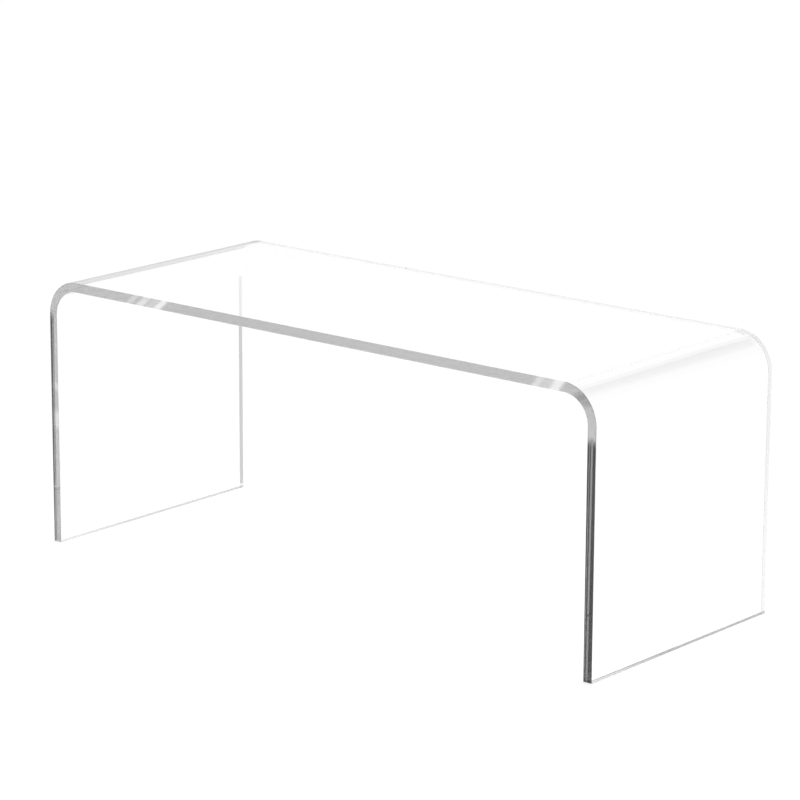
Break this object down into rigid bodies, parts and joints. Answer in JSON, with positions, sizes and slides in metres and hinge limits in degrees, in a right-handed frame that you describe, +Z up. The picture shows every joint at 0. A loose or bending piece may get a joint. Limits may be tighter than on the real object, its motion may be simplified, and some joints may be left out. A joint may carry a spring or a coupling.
{
  "type": "waterfall coffee table",
  "caption": "Low rectangular table bent from one clear acrylic sheet, with rounded corners between the top and two full-width legs.",
  "frame": {"origin": "on the floor at the centre of the footprint, midway between the two legs", "axes": "+Z up, +X along the tabletop from one leg to the other, +Y across its width"},
  "size_m": [1, 0.4, 0.4],
  "materials": {
    "clear_acrylic": "polished"
  },
  "bodies": {
    "root": {"bent_acrylic_sheet": "clear_acrylic"}
  },
  "joints": []
}
